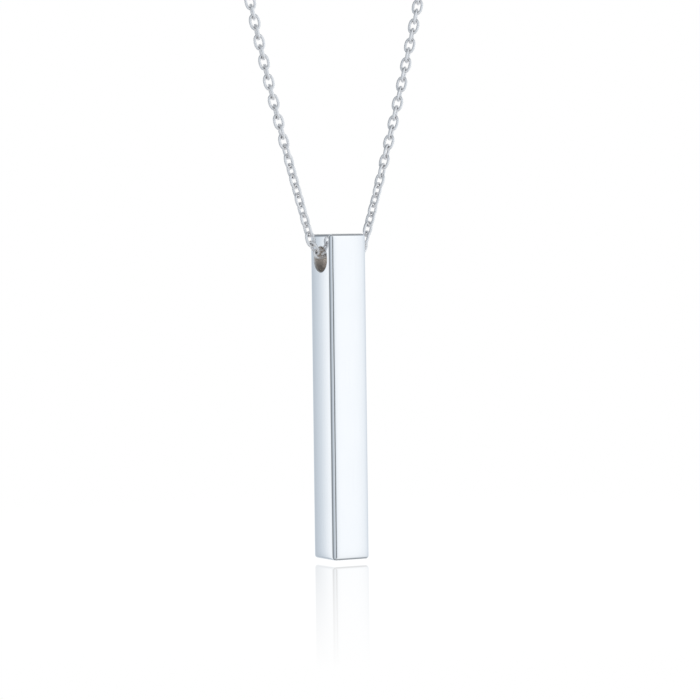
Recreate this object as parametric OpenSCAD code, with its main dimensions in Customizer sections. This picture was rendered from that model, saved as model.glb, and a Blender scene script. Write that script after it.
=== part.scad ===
/* [Bar] */
// Length of the bar, top end to bottom end
bar_length = 40; // [25:0.5:60]
// Side of the bar's square section
bar_side = 5; // [4:0.1:8]
// Radius of the four softened long edges
edge_round = 0.3; // [0.2:0.05:0.8]
// Radius of the softened edges round the two ends
end_round = 0.45; // [0.2:0.05:0.8]

/* [Hole] */
// Diameter of the hole that the chain runs through
hole_d = 3; // [2.4:0.1:3.2]
// Distance from the bar's top end to the middle of the hole
hole_drop = 3.1; // [2.6:0.1:8]
// Radius that softens the hole's two mouths
mouth_round = 0.2; // [0.1:0.05:0.4]

/* [Chain] */
// Length of the closed loop, clasp included, made up of whole links
chain_length = 457; // [380:1:620]
// Length of chain that each link adds
link_pitch = 1.24; // [1.1:0.01:1.4]
// Outer width of a link
link_width = 1.4; // [1.34:0.01:1.48]
// Diameter of the link's wire
wire_d = 0.35; // [0.3:0.01:0.38]
// Air left between the wires of two links, and of a link and a ring
link_gap = 0.13; // [0.12:0.01:0.15]
// Air left between the chain and the wall of the hole
hole_gap = 0.12; // [0.1:0.01:0.15]
// Length of chain on each side of the hole's middle that is made of real links
linked_stretch = 34; // [12:1:60]

/* [Hang] */
// Radius of the turn that the chain takes at each mouth of the hole
turn_r = 1.1; // [1:0.05:3]
// Lean of each strand from upright just above the bar, in degrees
lean_low = 17.5; // [15:0.5:24]
// Lean of each strand from upright past its curved stretch, in degrees
lean_high = 13.5; // [11:0.5:15]
// Length of the strand over which the lean changes
curved_stretch = 30; // [20:1:50]

/* [Clasp] */
// Outer diameter of the clasp's ring
clasp_d = 5.5; // [5:0.1:8]
// Thickness of the clasp's ring
clasp_wire = 1.1; // [0.9:0.1:1.4]
// Inner diameter of the clasp's eye
eye_bore = 0.95; // [0.9:0.05:1.4]
// Outer diameter of the ring that the clasp hooks into
ring_d = 3.4; // [3.2:0.1:5]
// Wire of the ring and of the clasp's eye
ring_wire = 0.42; // [0.35:0.01:0.44]

/* [Hidden] */
$fn = 48;
silver = [0.86, 0.87, 0.89];
past = 1;

// A link is two half rings joined by two short straight sides
link_length = link_pitch + 2 * wire_d + link_gap;
end_r = (link_width - wire_d) / 2;
link_reach = (link_length - wire_d) / 2;
side_half = link_reach - end_r;

// The chain runs against the top of the hole, a gap below it
chain_rise = hole_d / 2 - link_width / 2 - hole_gap;

// Clasp, seen along the loop from the last link on one side to the last on the other
clasp_r = (clasp_d - clasp_wire) / 2;
ring_r = (ring_d - ring_wire) / 2;
eye_r = (eye_bore + ring_wire) / 2;
link_hold = link_reach + ring_r - (wire_d + ring_wire) / 2 - link_gap;
clasp_hold = ring_r + clasp_r - (clasp_wire + ring_wire) / 2 - link_gap;
eye_out = clasp_r + clasp_wire / 2 + eye_r - ring_wire / 4;
eye_hold = eye_r + link_reach - (wire_d + ring_wire) / 2 - link_gap;
clasp_span = link_hold + clasp_hold + eye_out + eye_hold;

// Whole links to the left and right of the one in the middle of the hole. The left has an odd
// number and the right one less, so that the links' turns agree with a clasp in the loop's plane.
links_left = 2 * round((chain_length - clasp_span) / link_pitch / 4 - 0.25) + 1;
links_right = links_left - 1;
half_loop = ((links_left + links_right) * link_pitch + clasp_span) / 2;
front_links = min(ceil(linked_stretch / link_pitch), links_right - 1);

// The loop: through the hole, round its mouth, up a strand, and over a round top
turn_angle = 90 - lean_low;
turn_start = bar_side / 2;
turn_end = turn_start + turn_r * turn_angle * PI / 180;
curve_end = turn_end + curved_stretch;
curve_r = curved_stretch / ((lean_low - lean_high) * PI / 180);
after_turn = arc_step([turn_start, 0], turn_r, 0, turn_angle);
after_curve = arc_step(after_turn, curve_r, turn_angle, 90 - lean_high);
top_angle = 90 + lean_high;
top_r = (half_loop - curve_end + after_curve[0] / sin(lean_high))
    / (1 / tan(lean_high) + top_angle * PI / 180);
straight = (top_r * cos(lean_high) - after_curve[0]) / sin(lean_high);
straight_end = curve_end + straight;
after_straight = after_curve + straight * [sin(lean_high), cos(lean_high)];
loop_rise = after_straight[1] + top_r * (sin(lean_high) + 1);

// The origin is the underside of the clasp's ring, where the necklace hangs
chain_z = clasp_d / 2 - loop_rise;
hole_z = chain_z - chain_rise;
bar_top = hole_z + hole_drop;

// Turn of the links about the strand, in degrees, by distance along the loop to the left and right.
// A quarter turn inside the hole leaves every second link across the loop's plane at both mouths.
twists = [
    [-120, 180], [-40, 108], [-24, 107], [-21, 101], [-18, 100], [-14.4, 75], [-7, 75], [-5, 85],
    [-2.5, 80], [-1.24, 63.5], [0, 45], [1.24, 26.5], [2.5, 10],
    [5, 5], [7, 15], [9.8, 15], [12.3, 24], [14.9, 31], [16.5, 38], [20, 45], [31, 50], [40, 50], [120, 0]
];

// Places along the loop's top, from its middle towards the right
ring_at = (link_pitch - clasp_span) / 2 + link_hold;
clasp_at = ring_at + clasp_hold;
eye_at = clasp_at + eye_out;
clasp_turn = 90 * links_left;

// The tubes that stand for the rest of the chain
tube_sides = 8;
tube_rings = 40;
tube_start = front_links * link_pitch + link_length / 2 + link_gap;

// Where an arc of radius r ends that starts at p and turns from heading a to heading b
function arc_step(p, r, a, b) = p + r * [sin(b) - sin(a), cos(a) - cos(b)];

// Heading of the loop's right half, in degrees above +X, at a distance u from the hole
function heading(u) =
    u <= turn_start ? 0
    : u <= turn_end ? (u - turn_start) / turn_r * 180 / PI
    : u <= curve_end ? turn_angle + (u - turn_end) / curve_r * 180 / PI
    : u <= straight_end ? 90 - lean_high
    : 90 - lean_high + (u - straight_end) / top_r * 180 / PI;

// Place [x, z] on the loop's right half, measured from the chain in the hole
function half_point(u) =
    u <= turn_start ? [u, 0]
    : u <= turn_end ? arc_step([turn_start, 0], turn_r, 0, heading(u))
    : u <= curve_end ? arc_step(after_turn, curve_r, turn_angle, heading(u))
    : u <= straight_end ? after_curve + (u - curve_end) * [sin(lean_high), cos(lean_high)]
    : arc_step(after_straight, top_r, 90 - lean_high, heading(u));

// Place [x, z] on the whole loop; s is negative on the left half
function loop_point(s) = [sign(s) * half_point(abs(s))[0], chain_z + half_point(abs(s))[1]];

// Where the tube ends that leads to the last link, number n
function tube_end(n) = n * link_pitch - link_length / 2 - link_gap;

module ring(r, wire) {
    rotate_extrude()
        translate([r, 0])
            circle(d = wire);
}

// One link, its long axis along X, lying in the XY plane
module link() {
    for (way = [0, 180])
        rotate([0, 0, way]) {
            translate([side_half, 0, 0])
                rotate_extrude(angle = 180, start = -90)
                    translate([end_r, 0])
                        circle(d = wire_d);
            translate([-side_half, end_r, 0])
                rotate([0, 90, 0])
                    cylinder(d = wire_d, h = 2 * side_half);
        }
}

// Puts a piece that lies along X on the loop, with its pivots at the distances s - half and s + half
module on_loop(s, half, roll) {
    a = loop_point(s - half);
    b = loop_point(s + half);
    translate([(a[0] + b[0]) / 2, 0, (a[1] + b[1]) / 2])
        rotate([0, -atan2(b[1] - a[1], b[0] - a[0]), 0])
            rotate([roll, 0, 0])
                children();
}

// Link number i, counted to the right from the middle of the hole. Even links on the right and odd
// ones on the left lie across the loop's plane, and a bend turns their ends about the wire's middle.
module loop_link(i) {
    s = i * link_pitch;
    across = (i % 2 == 0) == (i >= 0);
    half = across ? link_reach : link_reach - wire_d - link_gap;
    on_loop(s, half, 90 * i + lookup(s, twists))
        link();
}

// A round tube along the right half of the loop, from u0 to u1
module loop_tube(u0, u1) {
    points = [
        for (k = [0 : tube_rings - 1])
            let (u = u0 + (u1 - u0) * k / (tube_rings - 1), p = loop_point(u), h = heading(u))
                for (j = [0 : tube_sides - 1])
                    let (t = 360 * (j + 0.5) / tube_sides, r = link_width / 2)
                        [p[0] - r * cos(t) * sin(h), r * sin(t), p[1] + r * cos(t) * cos(h)]
    ];
    last = (tube_rings - 1) * tube_sides;
    faces = [
        [for (j = [0 : tube_sides - 1]) j],
        [for (j = [tube_sides - 1 : -1 : 0]) last + j],
        for (k = [0 : tube_rings - 2])
            for (j = [0 : tube_sides - 1])
                let (n = (j + 1) % tube_sides, a = k * tube_sides, b = a + tube_sides)
                    [a + n, a + j, b + j, b + n]
    ];
    polyhedron(points, faces, convexity = 4);
}

// The outline of a rectangle with round corners
module round_rect(w, h, r) {
    union() {
        square([w - 2 * r, h], center = true);
        square([w, h - 2 * r], center = true);
        for (x = [-1, 1])
            for (y = [-1, 1])
                translate([x * (w / 2 - r), y * (h / 2 - r)])
                    circle(r = r);
    }
}

module bar_body() {
    intersection() {
        linear_extrude(bar_length + past, center = true)
            round_rect(bar_side, bar_side, edge_round);
        rotate([90, 0, 0])
            linear_extrude(bar_side + past, center = true)
                round_rect(bar_side, bar_length, end_round);
        rotate([90, 0, 90])
            linear_extrude(bar_side + past, center = true)
                round_rect(bar_side, bar_length, end_round);
    }
}

// The hole with its softened mouths, along Z
module hole_cutter() {
    half = bar_side / 2;
    rotate_extrude()
        union() {
            translate([0, -half - past])
                square([hole_d / 2, bar_side + 2 * past]);
            for (end = [0, 1])
                mirror([0, end])
                    difference() {
                        translate([hole_d / 2 - mouth_round, half - mouth_round])
                            square([2 * mouth_round, mouth_round + past]);
                        translate([hole_d / 2 + mouth_round, half - mouth_round])
                            circle(r = mouth_round);
                    }
        }
}

module bar() {
    color(silver)
        difference() {
            translate([0, 0, bar_top - bar_length / 2])
                bar_body();
            translate([0, 0, hole_z])
                rotate([0, 90, 0])
                    hole_cutter();
        }
}

module chain_front() {
    color(silver)
        for (i = [-front_links : front_links])
            loop_link(i);
}

module chain_back() {
    color(silver) {
        loop_tube(tube_start, tube_end(links_right));
        mirror([1, 0, 0])
            loop_tube(tube_start, tube_end(links_left));
        loop_link(-links_left);
        loop_link(links_right);
    }
}

// Puts a flat piece on the loop's top, s to the right of its middle
module on_top(s, roll) {
    angle = s / top_r * 180 / PI;
    translate([0, 0, clasp_d / 2 - top_r])
        rotate([0, angle, 0])
            translate([0, 0, top_r])
                rotate([roll, 0, 0])
                    children();
}

module end_ring() {
    color(silver)
        on_top(ring_at, clasp_turn + 90)
            ring(ring_r, ring_wire);
}

module clasp() {
    color(silver)
        union() {
            on_top(clasp_at, clasp_turn)
                ring(clasp_r, clasp_wire);
            on_top(eye_at, clasp_turn)
                ring(eye_r, ring_wire);
        }
}

bar();
chain_front();
chain_back();
end_ring();
clasp();
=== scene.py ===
"""A square silver bar pendant on a fine oval-link chain, in a bright studio."""

import math
import random

import bpy
from mathutils import Matrix, Vector


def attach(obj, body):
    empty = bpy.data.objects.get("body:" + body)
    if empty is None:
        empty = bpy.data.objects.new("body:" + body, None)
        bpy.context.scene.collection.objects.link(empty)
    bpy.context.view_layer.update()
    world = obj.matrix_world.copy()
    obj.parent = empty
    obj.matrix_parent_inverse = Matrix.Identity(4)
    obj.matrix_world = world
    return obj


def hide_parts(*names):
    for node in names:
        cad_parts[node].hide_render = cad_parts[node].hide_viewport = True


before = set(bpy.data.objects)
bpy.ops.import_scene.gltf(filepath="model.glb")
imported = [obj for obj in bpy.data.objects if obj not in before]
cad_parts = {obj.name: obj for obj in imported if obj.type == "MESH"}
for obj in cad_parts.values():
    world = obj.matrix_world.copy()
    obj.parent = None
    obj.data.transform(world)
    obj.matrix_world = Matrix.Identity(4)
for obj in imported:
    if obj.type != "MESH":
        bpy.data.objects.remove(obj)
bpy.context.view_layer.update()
MM = 0.001

# Bar, with the solids' own sizes. All sizes are in millimetres, unless they are said to be in metres
BAR_LENGTH = 40
BAR_SIDE = 5
EDGE_ROUND = 0.3
END_ROUND = 0.45
HOLE_D = 3
HOLE_DROP = 3.1
MOUTH_ROUND = 0.2

# Chain
CHAIN_LENGTH = 457
LINK_PITCH = 1.24
LINK_WIDTH = 1.4
WIRE_D = 0.35
LINK_GAP = 0.13
HOLE_GAP = 0.12
LINKED_STRETCH = 34

# How the chain hangs: the leans from upright are in degrees
TURN_R = 1.1
LEAN_LOW = 17.5
LEAN_HIGH = 13.5
CURVED_STRETCH = 30

# Clasp, and the ring that it hooks into
CLASP_D = 5.5
CLASP_WIRE = 1.1
EYE_BORE = 0.95
RING_D = 3.4
RING_WIRE = 0.42

# Turn of the links about the strand, in degrees, by distance along the loop to the left and right
TWISTS = [
    (-120, 180), (-40, 108), (-24, 107), (-21, 101), (-18, 100), (-14.4, 75), (-7, 75), (-5, 85),
    (-2.5, 80), (-1.24, 63.5), (0, 45), (1.24, 26.5), (2.5, 10),
    (5, 5), (7, 15), (9.8, 15), (12.3, 24), (14.9, 31), (16.5, 38), (20, 45), (31, 50), (40, 50), (120, 0),
]

# Small chances in how the links hang, in degrees; the links near the hole hang true
TRUE_LINKS = 4
ROLL_CHANCE = 3
SWAY_CHANCE = 1
CHANCE_SEED = 7

# The oval of a link is a little squarer than an ellipse, whose power is 2
LINK_POWER = 2.3

# Points round each ring, and round its wire
FRONT_LINK_POINTS = (48, 16)
BACK_LINK_POINTS = (28, 10)
RING_POINTS = (72, 20)
CLASP_POINTS = (96, 32)
EYE_POINTS = (48, 20)

# The painted shade where links bear on each other starts this far along a link, from 0 at its middle
# to 1 at its tip, and this far round its wire, from -1 at the outer side to 1 at the inner side
SHADE_ALONG = 0.75
SHADE_ROUND = -1 / 3

# Polishing crowns each face: how far its normal leans out at an edge, over the whole face and close
# to the edge, and how fast the lean towards an end of the bar dies away from that end
CROWN = math.radians(2.5)
ROLL_OFF = math.radians(5.5)
ROLL_OFF_POWER = 9
END_LEAN_REACH = 0.4

# Points in the bar's mesh: columns over a face, steps round an edge, rows below and above the hole,
# and rings from the hole's window to its mouth, round the mouth, and along the bore
FACE_COLS = 16
ROUND_STEPS = 12
ROWS_BELOW = 24
ROWS_ABOVE = 5
WINDOW_RINGS = 4
MOUTH_STEPS = 8
BORE_STEPS = 6

# The radius that the upright edges narrow to at the bar's two ends
SHARPEST_CORNER = 0.1

# One link: its whole length, and half sizes to the wire's middle
LINK_LENGTH = LINK_PITCH + 2 * WIRE_D + LINK_GAP
LINK_REACH = (LINK_LENGTH - WIRE_D) / 2
END_R = (LINK_WIDTH - WIRE_D) / 2

# The clasp, seen along the loop from the last link on one side to the last on the other
CLASP_R = (CLASP_D - CLASP_WIRE) / 2
RING_R = (RING_D - RING_WIRE) / 2
EYE_R = (EYE_BORE + RING_WIRE) / 2
LINK_HOLD = LINK_REACH + RING_R - (WIRE_D + RING_WIRE) / 2 - LINK_GAP
CLASP_HOLD = RING_R + CLASP_R - (CLASP_WIRE + RING_WIRE) / 2 - LINK_GAP
EYE_OUT = CLASP_R + CLASP_WIRE / 2 + EYE_R - RING_WIRE / 4
EYE_HOLD = EYE_R + LINK_REACH - (WIRE_D + RING_WIRE) / 2 - LINK_GAP
CLASP_SPAN = LINK_HOLD + CLASP_HOLD + EYE_OUT + EYE_HOLD

# Whole links to the left and right of the one in the middle of the hole
LINKS_LEFT = 2 * round((CHAIN_LENGTH - CLASP_SPAN) / LINK_PITCH / 4 - 0.25) + 1
LINKS_RIGHT = LINKS_LEFT - 1
HALF_LOOP = ((LINKS_LEFT + LINKS_RIGHT) * LINK_PITCH + CLASP_SPAN) / 2
FRONT_LINKS = min(math.ceil(LINKED_STRETCH / LINK_PITCH), LINKS_RIGHT - 1)


def arc_step(p, r, a, b):
    """Where an arc of radius r ends that starts at p and turns from heading a to heading b."""
    return (p[0] + r * (math.sin(b) - math.sin(a)), p[1] + r * (math.cos(a) - math.cos(b)))


# The loop: through the hole, round its mouth, up a strand, and over a round top
LOW = math.radians(LEAN_LOW)
HIGH = math.radians(LEAN_HIGH)
TURN_ANGLE = math.pi / 2 - LOW
TURN_START = BAR_SIDE / 2
TURN_END = TURN_START + TURN_R * TURN_ANGLE
CURVE_END = TURN_END + CURVED_STRETCH
CURVE_R = CURVED_STRETCH / (LOW - HIGH)
AFTER_TURN = arc_step((TURN_START, 0), TURN_R, 0, TURN_ANGLE)
AFTER_CURVE = arc_step(AFTER_TURN, CURVE_R, TURN_ANGLE, math.pi / 2 - HIGH)
TOP_ANGLE = math.pi / 2 + HIGH
TOP_R = (HALF_LOOP - CURVE_END + AFTER_CURVE[0] / math.sin(HIGH)) / (1 / math.tan(HIGH) + TOP_ANGLE)
STRAIGHT = (TOP_R * math.cos(HIGH) - AFTER_CURVE[0]) / math.sin(HIGH)
STRAIGHT_END = CURVE_END + STRAIGHT
AFTER_STRAIGHT = (AFTER_CURVE[0] + STRAIGHT * math.sin(HIGH), AFTER_CURVE[1] + STRAIGHT * math.cos(HIGH))

# The origin is the underside of the clasp's ring, and the chain lies near the top of the hole
CHAIN_Z = CLASP_D / 2 - AFTER_STRAIGHT[1] - TOP_R * (math.sin(HIGH) + 1)
HOLE_Z = CHAIN_Z - (HOLE_D / 2 - LINK_WIDTH / 2 - HOLE_GAP)
BAR_TOP = HOLE_Z + HOLE_DROP
BAR_BOTTOM = BAR_TOP - BAR_LENGTH

# Places along the loop's top, from its middle towards the right
RING_AT = (LINK_PITCH - CLASP_SPAN) / 2 + LINK_HOLD
CLASP_AT = RING_AT + CLASP_HOLD
EYE_AT = CLASP_AT + EYE_OUT
CLASP_TURN = 90 * LINKS_LEFT


def loop_point(s):
    """Place (x, z) on the chain's loop at a distance s from the middle of the hole."""
    u = abs(s)
    if u <= TURN_START:
        x, z = u, 0
    elif u <= TURN_END:
        x, z = arc_step((TURN_START, 0), TURN_R, 0, (u - TURN_START) / TURN_R)
    elif u <= CURVE_END:
        x, z = arc_step(AFTER_TURN, CURVE_R, TURN_ANGLE, TURN_ANGLE + (u - TURN_END) / CURVE_R)
    elif u <= STRAIGHT_END:
        x = AFTER_CURVE[0] + (u - CURVE_END) * math.sin(HIGH)
        z = AFTER_CURVE[1] + (u - CURVE_END) * math.cos(HIGH)
    else:
        start = math.pi / 2 - HIGH
        x, z = arc_step(AFTER_STRAIGHT, TOP_R, start, start + (u - STRAIGHT_END) / TOP_R)
    return (math.copysign(x, s), CHAIN_Z + z)


def link_twist(s):
    """Turn of a link about the strand, in degrees."""
    for (a, v), (b, w) in zip(TWISTS, TWISTS[1:]):
        if a <= s <= b:
            return v + (w - v) * (s - a) / (b - a)
    return TWISTS[0 if s < 0 else -1][1]


# Meshes


def new_object(name, verts, faces, normals=None):
    """A smooth mesh object from vertices in millimetres, with its own normals if they are given."""
    mesh = bpy.data.meshes.new(name)
    mesh.from_pydata([(x * MM, y * MM, z * MM) for x, y, z in verts], [], faces)
    mesh.validate()
    mesh.polygons.foreach_set("use_smooth", [True] * len(mesh.polygons))
    if normals:
        mesh.normals_split_custom_set_from_vertices(normals)
    mesh.update()
    obj = bpy.data.objects.new(name, mesh)
    bpy.context.scene.collection.objects.link(obj)
    return obj


def swept_ring(a, b, wire, around, across, power=2.0):
    """A round wire bent to a closed oval in the XY plane, half sizes a and b at the wire's middle."""
    verts, faces = [], []
    for k in range(around):
        t = 2 * math.pi * k / around
        c, s = math.cos(t), math.sin(t)
        x = a * math.copysign(abs(c) ** (2 / power), c)
        y = b * math.copysign(abs(s) ** (2 / power), s)
        nx = math.copysign(abs(c) ** (2 - 2 / power), c) / a
        ny = math.copysign(abs(s) ** (2 - 2 / power), s) / b
        n = math.hypot(nx, ny)
        nx, ny = nx / n, ny / n
        for j in range(across):
            v = 2 * math.pi * j / across
            r, z = wire / 2 * math.cos(v), wire / 2 * math.sin(v)
            verts.append(Vector((x + nx * r, y + ny * r, z)))
            k2, j2 = (k + 1) % around, (j + 1) % across
            faces.append((k * across + j, k2 * across + j, k2 * across + j2, k * across + j2))
    return verts, faces


def add(verts, faces, piece, matrix):
    """Adds a copy of a piece's vertices and faces, placed by a matrix."""
    base = len(verts)
    verts.extend((matrix @ v)[:] for v in piece[0])
    faces.extend(tuple(base + i for i in f) for f in piece[1])


def placed_rings(name, *rings):
    """One object of several rings, each given with the matrix that places it."""
    verts, faces = [], []
    for ring, matrix in rings:
        add(verts, faces, ring, matrix)
    return new_object(name, verts, faces)


# The chain, whose links are numbered to the right from the middle of the hole


def link_matrix(i, chance):
    """Places link number i. A link across the loop's plane turns about the wire's middle at its ends."""
    s = i * LINK_PITCH
    across = (i % 2 == 0) == (i >= 0)
    half = LINK_REACH if across else LINK_REACH - WIRE_D - LINK_GAP
    a, b = loop_point(s - half), loop_point(s + half)
    tilt = -math.atan2(b[1] - a[1], b[0] - a[0])
    roll = math.radians(90 * i + link_twist(s))
    sway = 0
    if abs(i) > TRUE_LINKS:
        roll += math.radians(chance.uniform(-ROLL_CHANCE, ROLL_CHANCE))
        sway = math.radians(chance.uniform(-SWAY_CHANCE, SWAY_CHANCE))
    return (Matrix.Translation(((a[0] + b[0]) / 2, 0, (a[1] + b[1]) / 2))
            @ Matrix.Rotation(tilt + sway, 4, "Y") @ Matrix.Rotation(roll, 4, "X"))


def past(value, start):
    """How far a value is past start on its way to 1, from 0 to 1."""
    return max(0, (value - start) / (1 - start))


def chain_piece(name, numbers, around, across):
    """Oval links, each marked with how close its wire is to where the next link lies in it, for painted
    shade.
    """
    chance = random.Random(CHANCE_SEED)
    link = swept_ring(LINK_REACH, END_R, WIRE_D, around, across, LINK_POWER)
    # Painted shade: how dark each point of the wire is painted where the next link lies in it
    painted_shade = []
    for k in range(around):
        at_end = past(abs(math.cos(2 * math.pi * k / around)), SHADE_ALONG)
        painted_shade += [at_end * past(-math.cos(2 * math.pi * j / across), SHADE_ROUND) for j in range(across)]
    verts, faces = [], []
    for i in numbers:
        add(verts, faces, link, link_matrix(i, chance))
    obj = new_object(name, verts, faces)
    obj.data.attributes.new("contact_shade", "FLOAT", "POINT").data.foreach_set("value", painted_shade * len(numbers))
    return obj


def top_matrix(s, roll):
    """Places a flat piece on the loop's top, s to the right of its middle."""
    return (Matrix.Translation((0, 0, CLASP_D / 2 - TOP_R)) @ Matrix.Rotation(s / TOP_R, 4, "Y")
            @ Matrix.Translation((0, 0, TOP_R)) @ Matrix.Rotation(math.radians(roll), 4, "X"))


# The bar: rings of points from its bottom end to its top, with a window in two faces for the hole


def smooth(f):
    """A share from 0 to 1 that starts and ends gently."""
    return f * f * (3 - 2 * f)


def face_lean(t):
    """Lean of a side face's normal at t, from -1 at one edge to 1 at the other."""
    return CROWN * t + ROLL_OFF * math.copysign(abs(t) ** ROLL_OFF_POWER, t)


def end_lean(z):
    """Lean of a side face's normal towards the nearer end of the bar."""
    above = z - (BAR_TOP - END_ROUND)
    below = BAR_BOTTOM + END_ROUND - z
    return ROLL_OFF * (math.exp(above / END_LEAN_REACH) - math.exp(below / END_LEAN_REACH))


def leaning(out, sideways, up):
    """A normal that leans sideways and up from a side face."""
    return Vector((out * math.cos(sideways) * math.cos(up), math.sin(sideways) * math.cos(up), math.sin(up)))


def bar_rows(low, high):
    """Rings of points by height and by how far an end rounding has turned, from -1 to 1.

    The rows of the hole's window, from low to high, are those from the second value to the third."""
    bottom, top = BAR_BOTTOM + END_ROUND, BAR_TOP - END_ROUND
    steps = [k / ROUND_STEPS for k in range(ROUND_STEPS + 1)]
    rows = [(bottom - END_ROUND * math.sin(math.pi / 2 * (1 - f)), f - 1) for f in steps]
    rows += [(bottom + (low - bottom) * (k / ROWS_BELOW) ** 2, 0) for k in range(1, ROWS_BELOW)]
    first = len(rows)
    rows += [(low + (high - low) * k / FACE_COLS, 0) for k in range(FACE_COLS + 1)]
    last = len(rows) - 1
    rows += [(high + (top - high) * k / ROWS_ABOVE, 0) for k in range(1, ROWS_ABOVE)]
    rows += [(top + END_ROUND * math.sin(math.pi / 2 * f), f) for f in steps]
    return rows, first, last


def bar_piece():
    """The bar with round edges, a bore from side to side, and faces that polishing left slightly crowned."""
    half = BAR_SIDE / 2
    core = half - EDGE_ROUND
    mouth_r = HOLE_D / 2 + MOUTH_ROUND
    turns = [Matrix.Rotation(side * math.pi / 2, 2) for side in range(4)]
    side_size = FACE_COLS + ROUND_STEPS
    verts, normals, faces = [], [], []

    def section(reach, corner):
        """The bar's outline: half its width, and the radius of its corners."""
        flat, points = reach - corner, []
        for turn in turns:
            points += [turn @ Vector((reach, flat * (2 * k / FACE_COLS - 1))) for k in range(FACE_COLS + 1)]
            for k in range(1, ROUND_STEPS):
                ang = math.pi / 2 * k / ROUND_STEPS
                points.append(turn @ Vector((flat + corner * math.cos(ang), flat + corner * math.sin(ang))))
        return points

    def ring(places, leans):
        """Adds a ring of points with their normals, and gives their numbers."""
        base = len(verts)
        verts.extend(places)
        normals.extend(leans)
        return list(range(base, len(verts)))

    def join(near, far, gap=()):
        """Adds the faces between two rings, apart from those at the columns in the gap."""
        for k in range(len(near)):
            n = (k + 1) % len(near)
            if k not in gap:
                faces.append((near[k], near[n], far[n], far[k]))

    # The body
    leans = [face_lean(2 * k / FACE_COLS - 1) for k in range(FACE_COLS + 1)]
    leans += [face_lean(1) + smooth(k / ROUND_STEPS) * (math.pi / 2 - 2 * face_lean(1))
              for k in range(1, ROUND_STEPS)]
    around = [turn @ Vector((math.cos(lean), math.sin(lean))) for turn in turns for lean in leans]
    rows, first, last = bar_rows(HOLE_Z - core, HOLE_Z + core)
    loops = []
    for z, f in rows:
        width = math.cos(math.pi / 2 * f)
        if f == 0:
            lean = end_lean(z)
        else:
            lean = math.copysign(ROLL_OFF + smooth(abs(f)) * (math.pi / 2 - ROLL_OFF), f)
        corner = SHARPEST_CORNER + (EDGE_ROUND - SHARPEST_CORNER) * width
        places = [(p.x, p.y, z) for p in section(half - END_ROUND * (1 - width), corner)]
        c, s = math.cos(lean), math.sin(lean)
        loops.append(ring(places, [Vector((n.x * c, n.y * c, s)) for n in around]))
    window = {side * side_size + k for side in (0, 2) for k in range(FACE_COLS)}
    for i, (near, far) in enumerate(zip(loops, loops[1:])):
        join(near, far, window if first <= i < last else ())

    # The two ends
    for loop, up in ((loops[0], -1), (loops[-1], 1)):
        cap = ring([verts[v] for v in loop], [Vector((0, 0, up))] * len(loop))
        faces.append(tuple(cap if up > 0 else reversed(cap)))

    # The hole: rings from the window in a side face to the mouth, and round it into the bore
    bores = []
    for side, out in ((0, 1), (2, -1)):
        col = side * side_size
        edge = [loops[first][col + k] for k in range(FACE_COLS)]
        edge += [loops[first + k][col + FACE_COLS] for k in range(FACE_COLS)]
        edge += [loops[last][col + FACE_COLS - k] for k in range(FACE_COLS)]
        edge += [loops[last - k][col] for k in range(FACE_COLS)]
        corners = [(verts[v][1], verts[v][2] - HOLE_Z) for v in edge]
        angles = [math.atan2(z, y) for y, z in corners]
        rings = [edge]
        for k in range(1, WINDOW_RINGS + 1):
            f = k / WINDOW_RINGS
            flat = [(y * (1 - f) + mouth_r * math.cos(ang) * f, z * (1 - f) + mouth_r * math.sin(ang) * f)
                    for (y, z), ang in zip(corners, angles)]
            rings.append(ring([(out * half, y, HOLE_Z + z) for y, z in flat],
                              [leaning(out, face_lean(y / core), end_lean(HOLE_Z + z)) for y, z in flat]))
        for k in range(1, MOUTH_STEPS + 1):
            a = math.pi / 2 * k / MOUTH_STEPS
            x = half - MOUTH_ROUND + MOUTH_ROUND * math.cos(a)
            r = mouth_r - MOUTH_ROUND * math.sin(a)
            rings.append(ring([(out * x, r * math.cos(ang), HOLE_Z + r * math.sin(ang)) for ang in angles],
                              [Vector((out * math.cos(a), -math.sin(a) * math.cos(ang),
                                       -math.sin(a) * math.sin(ang))) for ang in angles]))
        for near, far in zip(rings, rings[1:]):
            join(near, far)
        bores.append(rings[-1])

    # The bore: its left end runs the other way round, so its points are matched by their places
    right, left = bores
    match = [min(left, key=lambda w: math.dist(verts[v][1:], verts[w][1:])) for v in right]
    rings = [right]
    for k in range(1, BORE_STEPS):
        f = k / BORE_STEPS
        rings.append(ring([tuple(verts[v][m] * (1 - f) + verts[w][m] * f for m in range(3))
                           for v, w in zip(right, match)], [normals[v] for v in right]))
    rings.append(match)
    for near, far in zip(rings, rings[1:]):
        join(near, far)
    return new_object("bar_body", verts, faces, [tuple(n) for n in normals])


# Materials

# The two silvers: how often their marks repeat along X, Y and Z, their roughness from and to, their
# color and its shade, and how strongly the marks show as bumps
BAR_FINISH = {
    "grain": (5200, 5200, 160), "low": 0.05, "high": 0.09,
    "color": (0.97, 0.975, 0.985), "shade": (0.93, 0.94, 0.955), "bump": 0.1,
}
CHAIN_FINISH = {
    "grain": (1800, 1800, 1800), "low": 0.22, "high": 0.4,
    "color": (0.995, 0.985, 0.985), "shade": (0.95, 0.94, 0.943), "bump": 0.3,
}

# Polishing marks: how fine the soft unevenness is, its share beside the lines, the range of their
# noise that counts, and their height in metres
CLOUD_SCALE = 260.0
CLOUD_SHARE = 0.45
MARK_RANGE = (0.35, 0.65)
MARK_HEIGHT = 0.00002

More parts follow.
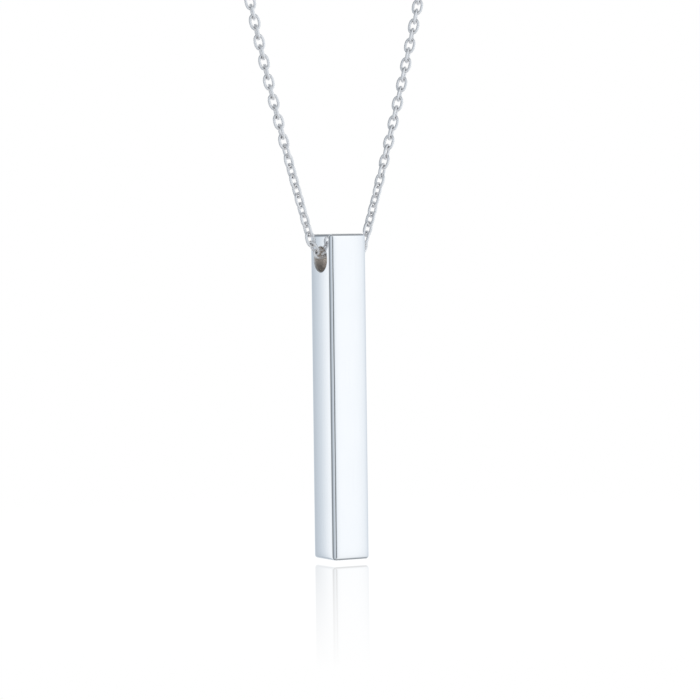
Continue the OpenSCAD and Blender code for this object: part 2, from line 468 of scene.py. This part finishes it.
# Tarnish in the hole: where it starts and is full, past the bore's radius, its two colors and how
# fine its spots are, how dull and how metallic it is, its tone from the bore's bottom up to a little
# above its middle, and painted light: how much lighter the bore is painted deep inside, by distance
# from the bar's middle
TARNISH_START = 0.17
TARNISH_FULL = 0.01
TARNISH_COLOR = (0.60, 0.55, 0.50)
TARNISH_LIGHT = (0.85, 0.80, 0.75)
TARNISH_SPOTS = 1500.0
TARNISH_ROUGH = 0.42
TARNISH_METAL = 0.35
TARNISH_TONE = (0.5, 0.84)
TARNISH_TONE_TOP = 0.2
DEEP_PAINTED_LIGHT = 2.1
DEEP_LIGHT_START = 0.36 * BAR_SIDE
DEEP_LIGHT_FULL = 0.12 * BAR_SIDE

# How metallic the chain's wire is, and the color, range and strength of the painted shade where links meet
CHAIN_METAL = 0.7
CONTACT_SHADE_COLOR = (0.18, 0.175, 0.18)
CONTACT_SHADE_RANGE = (0.1, 0.7)
CONTACT_SHADE_DARK = 0.8


def node(tree, kind, inputs=(), **settings):
    """A new shader node with its settings, and with values for some of its sockets."""
    n = tree.nodes.new(kind)
    for k, v in settings.items():
        setattr(n, k, v)
    for k, v in dict(inputs).items():
        n.inputs[k].default_value = v
    return n


def polish_group():
    """Fine polishing lines and a soft unevenness: a roughness between two values, and a height."""
    g = bpy.data.node_groups.new("polish_marks", "ShaderNodeTree")
    g.interface.new_socket("Grain", in_out="INPUT", socket_type="NodeSocketVector")
    g.interface.new_socket("Low", in_out="INPUT", socket_type="NodeSocketFloat")
    g.interface.new_socket("High", in_out="INPUT", socket_type="NodeSocketFloat")
    g.interface.new_socket("Roughness", in_out="OUTPUT", socket_type="NodeSocketFloat")
    g.interface.new_socket("Height", in_out="OUTPUT", socket_type="NodeSocketFloat")
    inp, out = node(g, "NodeGroupInput"), node(g, "NodeGroupOutput")
    coord = node(g, "ShaderNodeTexCoord")
    stretch = node(g, "ShaderNodeVectorMath", operation="MULTIPLY")
    g.links.new(coord.outputs["Object"], stretch.inputs[0])
    g.links.new(inp.outputs["Grain"], stretch.inputs[1])
    lines = node(g, "ShaderNodeTexNoise", {"Scale": 1.0, "Detail": 3.0})
    g.links.new(stretch.outputs[0], lines.inputs["Vector"])
    cloud = node(g, "ShaderNodeTexNoise", {"Scale": CLOUD_SCALE, "Detail": 2.0})
    g.links.new(coord.outputs["Object"], cloud.inputs["Vector"])
    blend = node(g, "ShaderNodeMix", {"Factor": CLOUD_SHARE}, data_type="FLOAT")
    g.links.new(lines.outputs[0], blend.inputs["A"])
    g.links.new(cloud.outputs[0], blend.inputs["B"])
    spread = node(g, "ShaderNodeMapRange", {"From Min": MARK_RANGE[0], "From Max": MARK_RANGE[1]})
    g.links.new(blend.outputs[0], spread.inputs["Value"])
    g.links.new(inp.outputs["Low"], spread.inputs["To Min"])
    g.links.new(inp.outputs["High"], spread.inputs["To Max"])
    g.links.new(spread.outputs[0], out.inputs["Roughness"])
    g.links.new(blend.outputs[0], out.inputs["Height"])
    return g


POLISH = polish_group()


def silver(name, grain, low, high, color, shade, bump):
    """Polished silver whose color and roughness vary a little with its marks."""
    mat = bpy.data.materials.new(name)
    mat.use_nodes = True
    tree = mat.node_tree
    shader = tree.nodes["Principled BSDF"]
    shader.inputs["Metallic"].default_value = 1.0
    marks = node(tree, "ShaderNodeGroup", {"Grain": grain, "Low": low, "High": high}, node_tree=POLISH)
    tone = node(tree, "ShaderNodeMix", {"A": (*color, 1), "B": (*shade, 1)}, data_type="RGBA")
    tree.links.new(marks.outputs["Height"], tone.inputs["Factor"])
    tree.links.new(tone.outputs["Result"], shader.inputs["Base Color"])
    tree.links.new(marks.outputs["Roughness"], shader.inputs["Roughness"])
    lift = node(tree, "ShaderNodeBump", {"Strength": bump, "Distance": MARK_HEIGHT})
    tree.links.new(marks.outputs["Height"], lift.inputs["Height"])
    tree.links.new(lift.outputs[0], shader.inputs["Normal"])
    return mat, tree, shader, tone, marks


def bar_material():
    """Mirror-polished silver, dull and tarnished inside the drilled hole, and painted lighter deep inside it.
    """
    mat, tree, shader, tone, marks = silver("polished_bar_silver", **BAR_FINISH)
    coord = node(tree, "ShaderNodeTexCoord")
    from_hole = node(tree, "ShaderNodeVectorMath", {1: (0, 0, HOLE_Z * MM)}, operation="SUBTRACT")
    tree.links.new(coord.outputs["Object"], from_hole.inputs[0])
    across = node(tree, "ShaderNodeVectorMath", {1: (0, 1 / MM, 1 / MM)}, operation="MULTIPLY")
    tree.links.new(from_hole.outputs[0], across.inputs[0])
    reach = node(tree, "ShaderNodeVectorMath", operation="LENGTH")
    tree.links.new(across.outputs[0], reach.inputs[0])
    inside = node(tree, "ShaderNodeMapRange",
                  {"From Min": HOLE_D / 2 + TARNISH_START, "From Max": HOLE_D / 2 + TARNISH_FULL},
                  interpolation_type="SMOOTHSTEP")
    tree.links.new(reach.outputs["Value"], inside.inputs["Value"])

    # Color of the tarnish: spots, darker towards the bore's bottom, and painted light that lightens it deep
    # inside, near the bar's middle
    spots = node(tree, "ShaderNodeTexNoise", {"Scale": TARNISH_SPOTS, "Detail": 4.0})
    tree.links.new(coord.outputs["Object"], spots.inputs["Vector"])
    tarnish = node(tree, "ShaderNodeMix", {"A": (*TARNISH_COLOR, 1), "B": (*TARNISH_LIGHT, 1)},
                   data_type="RGBA")
    tree.links.new(spots.outputs[0], tarnish.inputs["Factor"])
    height = node(tree, "ShaderNodeSeparateXYZ")
    tree.links.new(across.outputs[0], height.inputs[0])
    # The tarnish is darker towards the bore's bottom
    tone_by_height = node(tree, "ShaderNodeMapRange",
                {"From Min": -HOLE_D / 2, "From Max": TARNISH_TONE_TOP,
                 "To Min": TARNISH_TONE[0], "To Max": TARNISH_TONE[1]}, interpolation_type="SMOOTHSTEP")
    tree.links.new(height.outputs["Z"], tone_by_height.inputs["Value"])
    place = node(tree, "ShaderNodeSeparateXYZ")
    tree.links.new(from_hole.outputs[0], place.inputs[0])
    off_middle = node(tree, "ShaderNodeMath", operation="ABSOLUTE")
    tree.links.new(place.outputs["X"], off_middle.inputs[0])
    # Painted light: the tarnish is painted up to this much lighter deep inside the bore, near the bar's
    # middle
    deep_painted_light = node(tree, "ShaderNodeMapRange",
                {"From Min": DEEP_LIGHT_START * MM, "From Max": DEEP_LIGHT_FULL * MM, "To Min": 1.0, "To Max": DEEP_PAINTED_LIGHT},
                interpolation_type="SMOOTHSTEP")
    tree.links.new(off_middle.outputs[0], deep_painted_light.inputs["Value"])
    bore_tone_and_light = node(tree, "ShaderNodeMath", operation="MULTIPLY")
    tree.links.new(tone_by_height.outputs[0], bore_tone_and_light.inputs[0])
    tree.links.new(deep_painted_light.outputs[0], bore_tone_and_light.inputs[1])
    toned = node(tree, "ShaderNodeVectorMath", operation="SCALE")
    tree.links.new(tarnish.outputs["Result"], toned.inputs[0])
    tree.links.new(bore_tone_and_light.outputs[0], toned.inputs["Scale"])

    # Inside the hole, the tarnish's color, roughness and metal take over from the polished silver's
    color = node(tree, "ShaderNodeMix", data_type="RGBA")
    tree.links.new(inside.outputs[0], color.inputs["Factor"])
    tree.links.new(tone.outputs["Result"], color.inputs["A"])
    tree.links.new(toned.outputs["Vector"], color.inputs["B"])
    tree.links.new(color.outputs["Result"], shader.inputs["Base Color"])
    rough = node(tree, "ShaderNodeMix", {"B": TARNISH_ROUGH}, data_type="FLOAT")
    tree.links.new(inside.outputs[0], rough.inputs["Factor"])
    tree.links.new(marks.outputs["Roughness"], rough.inputs["A"])
    tree.links.new(rough.outputs[0], shader.inputs["Roughness"])
    metal = node(tree, "ShaderNodeMapRange", {"To Min": 1.0, "To Max": TARNISH_METAL})
    tree.links.new(inside.outputs[0], metal.inputs["Value"])
    tree.links.new(metal.outputs[0], shader.inputs["Metallic"])
    return mat


def chain_material():
    """Tumbled silver wire, dull enough to scatter some light, with painted shade where the links bear on each
    other.
    """
    mat, tree, shader, tone, _ = silver("tumbled_chain_silver", **CHAIN_FINISH)
    shader.inputs["Metallic"].default_value = CHAIN_METAL
    # Painted shade: the wire's color darkens where the links bear on each other
    contact_shade = node(tree, "ShaderNodeAttribute", attribute_name="contact_shade")
    painted_shade = node(tree, "ShaderNodeMapRange",
                {"From Min": CONTACT_SHADE_RANGE[0], "From Max": CONTACT_SHADE_RANGE[1], "To Max": CONTACT_SHADE_DARK},
                interpolation_type="SMOOTHSTEP")
    tree.links.new(contact_shade.outputs["Fac"], painted_shade.inputs["Value"])
    color = node(tree, "ShaderNodeMix", {"B": (*CONTACT_SHADE_COLOR, 1)}, data_type="RGBA")
    tree.links.new(painted_shade.outputs[0], color.inputs["Factor"])
    tree.links.new(tone.outputs["Result"], color.inputs["A"])
    tree.links.new(color.outputs["Result"], shader.inputs["Base Color"])
    return mat


BAR_SILVER = bar_material()
CHAIN_SILVER = chain_material()

# Pieces


def dress(obj, mat, body, slot_name, *nodes):
    """Gives a piece its material, the body that it rides on and the nodes that it replaces; its slot's name
    is not used.
    """
    obj.data.materials.clear()
    obj.data.materials.append(mat)
    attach(obj, body)
    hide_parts(*nodes)


dress(bar_piece(), BAR_SILVER, "bar", "bar_silver", "bar")

shown = range(-FRONT_LINKS, FRONT_LINKS + 1)
links_front = chain_piece("links_front", shown, *FRONT_LINK_POINTS)
dress(links_front, CHAIN_SILVER, "chain", "chain_silver", "chain_front")

hidden = [i for i in range(-LINKS_LEFT, LINKS_RIGHT + 1) if i not in shown]
links_back = chain_piece("links_back", hidden, *BACK_LINK_POINTS)
dress(links_back, CHAIN_SILVER, "chain", "chain_silver", "chain_back")

hooked = (swept_ring(RING_R, RING_R, RING_WIRE, *RING_POINTS), top_matrix(RING_AT, CLASP_TURN + 90))
dress(placed_rings("jump_ring", hooked), CHAIN_SILVER, "chain", "chain_silver", "end_ring")

clasp = (swept_ring(CLASP_R, CLASP_R, CLASP_WIRE, *CLASP_POINTS), top_matrix(CLASP_AT, CLASP_TURN))
eye = (swept_ring(EYE_R, EYE_R, RING_WIRE, *EYE_POINTS), top_matrix(EYE_AT, CLASP_TURN))
dress(placed_rings("clasp_ring", clasp, eye), CHAIN_SILVER, "chain", "chain_silver", "clasp")

# Studio

# Brightness of the studio round the object, by bearing in degrees: 0 is the front, 90 the right
AROUND = [
    (-180, 0.7), (-160, 0.57), (-155, 0.61), (-153, 0.665), (-151, 0.765), (-149, 0.88), (-147.5, 0.95),
    (-141, 0.975), (-136, 0.3), (-128, 0.2), (-108, 0.24), (-80, 0.52), (-35, 0.59), (1, 0.68), (6.5, 1.05),
    (11.5, 0.17), (15.5, 0.17), (17.5, 0.75), (20.5, 0.91), (26, 1.01), (32, 1.01), (33, 0.965), (38, 0.91),
    (44, 0.85), (58, 0.68), (85, 0.75), (105, 1.05), (118, 0.72), (135, 0.72), (143, 1.1), (158, 1.1),
    (180, 0.7),
]
# and by height, in front and behind: -1 is straight down, 1 straight up
HEIGHT = [
    (-1, 0.9), (-0.93, 0.38), (-0.8, 0.36), (-0.68, 0.75), (-0.35, 0.92), (-0.1, 1), (0.1, 1), (0.35, 1.05),
    (0.6, 0.85), (0.74, 0.4), (0.85, 0.27), (0.95, 0.45), (1, 1.1),
]
HEIGHT_BEHIND = [
    (-1, 0.9), (-0.5, 0.9), (-0.1, 1), (0.12, 1), (0.2, 0.8), (0.28, 0.42), (0.5, 0.42), (0.62, 0.8),
    (0.8, 1), (1, 1.1),
]
# How far to the back, as a share of the direction, the front gives way to what is behind
BEHIND_RANGE = (0.3, 0.7)
# The cool tint of the studio's panels, which fades from a middle brightness up to white
COOL = (0.905, 1, 1.1)
PLAIN = (1, 1, 1)
TINT_AT_BLACK = 2.2
TINT_LOSS = 1.9

# The floor: how far it lies under the bar, its size, and its mirror image's strength, reach in
# metres and how steeply it fades as the view turns down
FLOOR_DROP = 0.35
FLOOR_SPAN = 3000
MIRROR_SHARE = 0.49
MIRROR_REACH = 0.1
MIRROR_POWER = 3
MIRROR_ROUGH = 0.02


def panels(tree, stops, low, high, value, tint=PLAIN):
    """Brightness as a color: stops that run from low to high, read at a value from 0 to 1."""
    n = node(tree, "ShaderNodeValToRGB")
    n.color_ramp.interpolation = "LINEAR"
    while len(n.color_ramp.elements) < len(stops):
        n.color_ramp.elements.new(0.5)
    for e, (at, level) in zip(n.color_ramp.elements, stops):
        fade = min(1, TINT_AT_BLACK - TINT_LOSS * level)
        e.position = (at - low) / (high - low)
        e.color = (*(level * t ** fade for t in tint), 1)
    tree.links.new(value, n.inputs["Fac"])
    return n.outputs["Color"]


def studio_world():
    """A bright surround with darker panels, which the camera itself sees as white."""
    world = bpy.data.worlds.new("studio")
    bpy.context.scene.world = world
    world.use_nodes = True
    tree = world.node_tree
    tree.nodes.clear()
    coord = node(tree, "ShaderNodeTexCoord")
    axes = node(tree, "ShaderNodeSeparateXYZ")
    tree.links.new(coord.outputs["Generated"], axes.inputs[0])
    ahead = node(tree, "ShaderNodeMath", {1: -1}, operation="MULTIPLY")
    tree.links.new(axes.outputs["Y"], ahead.inputs[0])
    bearing = node(tree, "ShaderNodeMath", operation="ARCTAN2")
    tree.links.new(axes.outputs["X"], bearing.inputs[0])
    tree.links.new(ahead.outputs[0], bearing.inputs[1])
    turned = node(tree, "ShaderNodeMapRange", {"From Min": -math.pi, "From Max": math.pi})
    tree.links.new(bearing.outputs[0], turned.inputs["Value"])
    raised = node(tree, "ShaderNodeMapRange", {"From Min": -1})
    tree.links.new(axes.outputs["Z"], raised.inputs["Value"])
    all_round = panels(tree, AROUND, -180, 180, turned.outputs[0], COOL)
    in_front = panels(tree, HEIGHT, -1, 1, raised.outputs[0])
    at_back = panels(tree, HEIGHT_BEHIND, -1, 1, raised.outputs[0])
    behind = node(tree, "ShaderNodeMapRange", {"From Min": BEHIND_RANGE[0], "From Max": BEHIND_RANGE[1]},
                  interpolation_type="SMOOTHSTEP")
    tree.links.new(axes.outputs["Y"], behind.inputs["Value"])
    by_height = node(tree, "ShaderNodeMix", data_type="RGBA")
    tree.links.new(behind.outputs[0], by_height.inputs["Factor"])
    tree.links.new(in_front, by_height.inputs["A"])
    tree.links.new(at_back, by_height.inputs["B"])
    light = node(tree, "ShaderNodeMix", {"Factor": 1}, data_type="RGBA", blend_type="MULTIPLY")
    tree.links.new(all_round, light.inputs["A"])
    tree.links.new(by_height.outputs["Result"], light.inputs["B"])
    path = node(tree, "ShaderNodeLightPath")
    seen = node(tree, "ShaderNodeMix", {"B": (1, 1, 1, 1)}, data_type="RGBA")
    tree.links.new(path.outputs["Is Camera Ray"], seen.inputs["Factor"])
    tree.links.new(light.outputs["Result"], seen.inputs["A"])
    sky = node(tree, "ShaderNodeBackground")
    tree.links.new(seen.outputs["Result"], sky.inputs["Color"])
    out = node(tree, "ShaderNodeOutputWorld")
    tree.links.new(sky.outputs[0], out.inputs["Surface"])


def floor_material():
    """White, with a faint mirror image that fades away from the bar and as the view turns down."""
    mat = bpy.data.materials.new("pale_floor")
    mat.use_nodes = True
    tree = mat.node_tree
    tree.nodes.clear()
    glow = node(tree, "ShaderNodeEmission")
    gloss = node(tree, "ShaderNodeBsdfGlossy", {"Roughness": MIRROR_ROUGH, "Color": (1, 1, 1, 1)})
    coord = node(tree, "ShaderNodeTexCoord")
    flat = node(tree, "ShaderNodeVectorMath", {1: (1, 1, 0)}, operation="MULTIPLY")
    tree.links.new(coord.outputs["Object"], flat.inputs[0])
    away = node(tree, "ShaderNodeVectorMath", operation="LENGTH")
    tree.links.new(flat.outputs[0], away.inputs[0])
    fade = node(tree, "ShaderNodeMapRange",
                {"From Min": 0, "From Max": MIRROR_REACH, "To Min": MIRROR_SHARE, "To Max": 0})
    tree.links.new(away.outputs["Value"], fade.inputs["Value"])
    grazing = node(tree, "ShaderNodeLayerWeight")
    steep = node(tree, "ShaderNodeMath", {1: MIRROR_POWER}, operation="POWER")
    tree.links.new(grazing.outputs["Facing"], steep.inputs[0])
    share = node(tree, "ShaderNodeMath", operation="MULTIPLY")
    tree.links.new(steep.outputs[0], share.inputs[0])
    tree.links.new(fade.outputs[0], share.inputs[1])
    mixed = node(tree, "ShaderNodeMixShader")
    tree.links.new(share.outputs[0], mixed.inputs[0])
    tree.links.new(glow.outputs[0], mixed.inputs[1])
    tree.links.new(gloss.outputs[0], mixed.inputs[2])
    out = node(tree, "ShaderNodeOutputMaterial")
    tree.links.new(mixed.outputs[0], out.inputs["Surface"])
    return mat


studio_world()

floor_corners = [(x * FLOOR_SPAN, y * FLOOR_SPAN, BAR_BOTTOM - FLOOR_DROP)
                 for x, y in ((-1, -1), (1, -1), (1, 1), (-1, 1))]
floor = new_object("floor", floor_corners, [(0, 1, 2, 3)])
floor.data.materials.append(floor_material())
floor.visible_glossy = False

# Camera: its bearing, height and roll in degrees, its distance from the bar's middle, the picture's
# size, the focal length in pixels, and the pixel where the bar's middle lies
AZIMUTH = -29.5
ELEVATION = 2.8
ROLL = -0.7
DISTANCE = 395
FRAME_PX = 700
FOCAL_PX = 3211
AIM_X = 339.3
AIM_Y = 396.3
SENSOR = 36
# The nearest and furthest things that the camera sees, in metres
CLIP_NEAR = 0.01
CLIP_FAR = 20


def sideways(ahead):
    """The directions to the right and up of a level camera."""
    right = ahead.cross(Vector((0, 0, 1))).normalized()
    return right, right.cross(ahead)


def photo_camera():
    """The camera at the photograph's place."""
    a, e = math.radians(AZIMUTH), math.radians(ELEVATION)
    back = Vector((math.sin(a) * math.cos(e), -math.cos(a) * math.cos(e), math.sin(e)))
    place = Vector((0, 0, BAR_BOTTOM + BAR_LENGTH / 2)) + back * DISTANCE
    ahead = -back
    right, up = sideways(ahead)
    ahead += (FRAME_PX / 2 - AIM_X) / FOCAL_PX * right - (FRAME_PX / 2 - AIM_Y) / FOCAL_PX * up
    ahead.normalize()
    right, up = sideways(ahead)
    c, s = math.cos(math.radians(ROLL)), math.sin(math.radians(ROLL))
    axes = Matrix((c * right + s * up, c * up - s * right, -ahead)).transposed()
    camera = bpy.data.objects.new("camera", bpy.data.cameras.new("camera"))
    camera.matrix_world = Matrix.Translation(place * MM) @ axes.to_4x4()
    camera.data.sensor_width = SENSOR
    camera.data.lens = SENSOR * FOCAL_PX / FRAME_PX
    camera.data.clip_start = CLIP_NEAR
    camera.data.clip_end = CLIP_FAR
    return camera


camera = photo_camera()
bpy.context.scene.collection.objects.link(camera)
bpy.context.scene.camera = camera
bpy.context.scene.view_settings.view_transform = "Standard"
bpy.context.scene.view_settings.look = "None"
